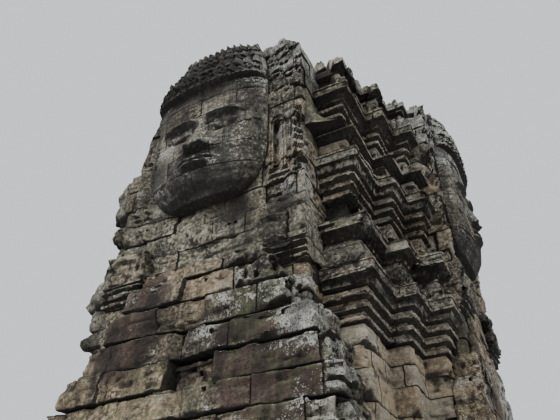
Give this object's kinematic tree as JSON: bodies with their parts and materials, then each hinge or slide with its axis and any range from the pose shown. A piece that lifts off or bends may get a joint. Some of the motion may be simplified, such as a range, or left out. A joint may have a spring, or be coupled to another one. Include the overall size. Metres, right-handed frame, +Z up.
{
  "type": "four-faced khmer stone temple tower",
  "caption": "Tall stone shrine tower: a hollow room with open doorways, stepped corners with stacked cornices, a giant calm head in relief on each side and a lotus crown.",
  "frame": {"origin": "centre of the base's underside, on the ground", "axes": "+Z up; the front doorway looks along -Y and the right doorway along +X"},
  "size_m": [6.6184, 8.1184, 11.9909],
  "materials": {
    "body_stone": "weathered dry-laid sandstone, dark streaks and pale lichen",
    "corner_stone": "weathered moulded sandstone, black soffits and tan sheltered faces",
    "carved_stone": "worn carved sandstone with lichen",
    "base_stone": "damp dark sandstone with moss"
  },
  "bodies": {
    "root": {"base_plinth": "base_stone", "room_floor": "base_stone", "lower_corner_front_right": "corner_stone", "lower_corner_back_right": "corner_stone", "lower_corner_back_left": "corner_stone", "lower_corner_front_left": "corner_stone", "upper_corner_front_right": "corner_stone", "upper_corner_back_right": "corner_stone", "upper_corner_back_left": "corner_stone", "upper_corner_front_left": "corner_stone", "front_door_wall_left": "body_stone", "front_door_wall_right": "body_stone", "front_wall_over_door": "body_stone", "front_door_frame": "carved_stone", "front_lintel": "carved_stone", "front_pediment": "body_stone", "front_face_body": "body_stone", "front_head": "carved_stone", "right_door_wall_left": "body_stone", "right_door_wall_right": "body_stone", "right_wall_over_door": "body_stone", "right_door_frame": "carved_stone", "right_lintel": "carved_stone", "right_pediment": "body_stone", "right_face_body": "body_stone", "right_head": "carved_stone", "back_door_wall_left": "body_stone", "back_door_wall_right": "body_stone", "back_wall_over_door": "body_stone", "back_door_frame": "carved_stone", "back_lintel": "carved_stone", "back_pediment": "body_stone", "back_face_body": "body_stone", "back_head": "carved_stone", "left_door_wall_left": "body_stone", "left_door_wall_right": "body_stone", "left_wall_over_door": "body_stone", "left_door_frame": "carved_stone", "left_lintel": "carved_stone", "left_pediment": "body_stone", "left_face_body": "body_stone", "left_head": "carved_stone", "crown_base": "base_stone", "lotus_crown": "carved_stone", "crown_bud": "carved_stone"}
  },
  "joints": []
}
